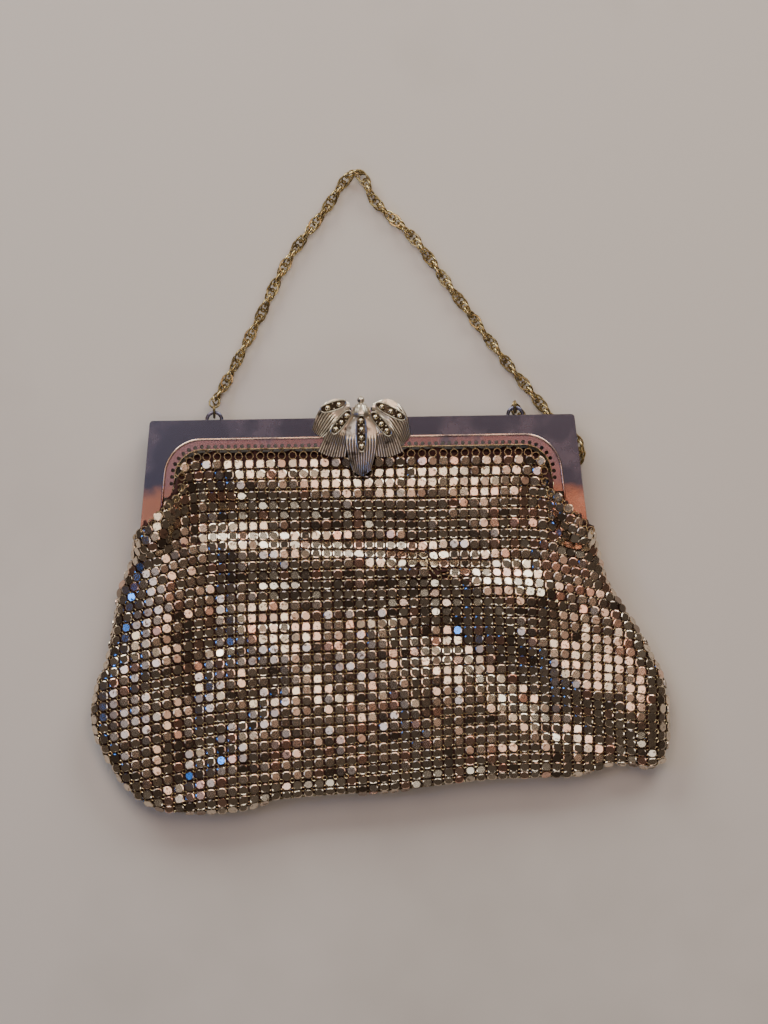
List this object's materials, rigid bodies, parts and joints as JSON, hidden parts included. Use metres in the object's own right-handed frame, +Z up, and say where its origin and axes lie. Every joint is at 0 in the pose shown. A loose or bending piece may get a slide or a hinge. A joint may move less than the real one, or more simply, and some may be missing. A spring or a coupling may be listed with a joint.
{
  "type": "metal mesh purse",
  "caption": "Evening purse of small metal plates hung in a hinged metal mouth frame, with a rope chain handle and a petal clasp that lifts to open.",
  "frame": {"origin": "middle of the bag's flat underside, on which the purse lies", "axes": "+Z up from the surface it lies on, +Y from the bag's bottom towards the frame and the chain, +X along the frame to the right"},
  "size_m": [0.2118, 0.2328, 0.0192],
  "materials": {
    "frame_metal": "polished nickel plate on pressed metal, slightly clouded",
    "plate_metal": "small pressed plates, silver plated and polished, warm dark lining behind",
    "chain_metal": "drawn wire links, antique brass",
    "clasp_metal": "cast, antique silver plate with dark recesses",
    "clasp_stone": "cut marcasite, polished facets"
  },
  "bodies": {
    "purse": {"frame_front": "frame_metal", "frame_back": "frame_metal", "hinge_pin_left": "frame_metal", "hinge_pin_right": "frame_metal", "jump_ring_left": "chain_metal", "jump_ring_right": "chain_metal", "clasp_pin": "frame_metal", "mesh_bag": "plate_metal", "chain": "chain_metal"},
    "clasp": {"clasp_shell": "clasp_metal", "stone_01": "clasp_stone", "stone_02": "clasp_stone", "stone_03": "clasp_stone", "stone_04": "clasp_stone", "stone_05": "clasp_stone", "stone_06": "clasp_stone", "stone_07": "clasp_stone", "stone_08": "clasp_stone", "stone_09": "clasp_stone", "stone_10": "clasp_stone", "stone_11": "clasp_stone", "stone_12": "clasp_stone", "stone_13": "clasp_stone", "stone_14": "clasp_stone", "stone_15": "clasp_stone"}
  },
  "joints": [
    {"name": "clasp_lift", "type": "hinge", "parent": "purse", "child": "clasp", "pos_m": [-0.0003, 0.0871, 0.0076], "axis": [-1, 0, 0], "range_deg": [0, 90]}
  ]
}
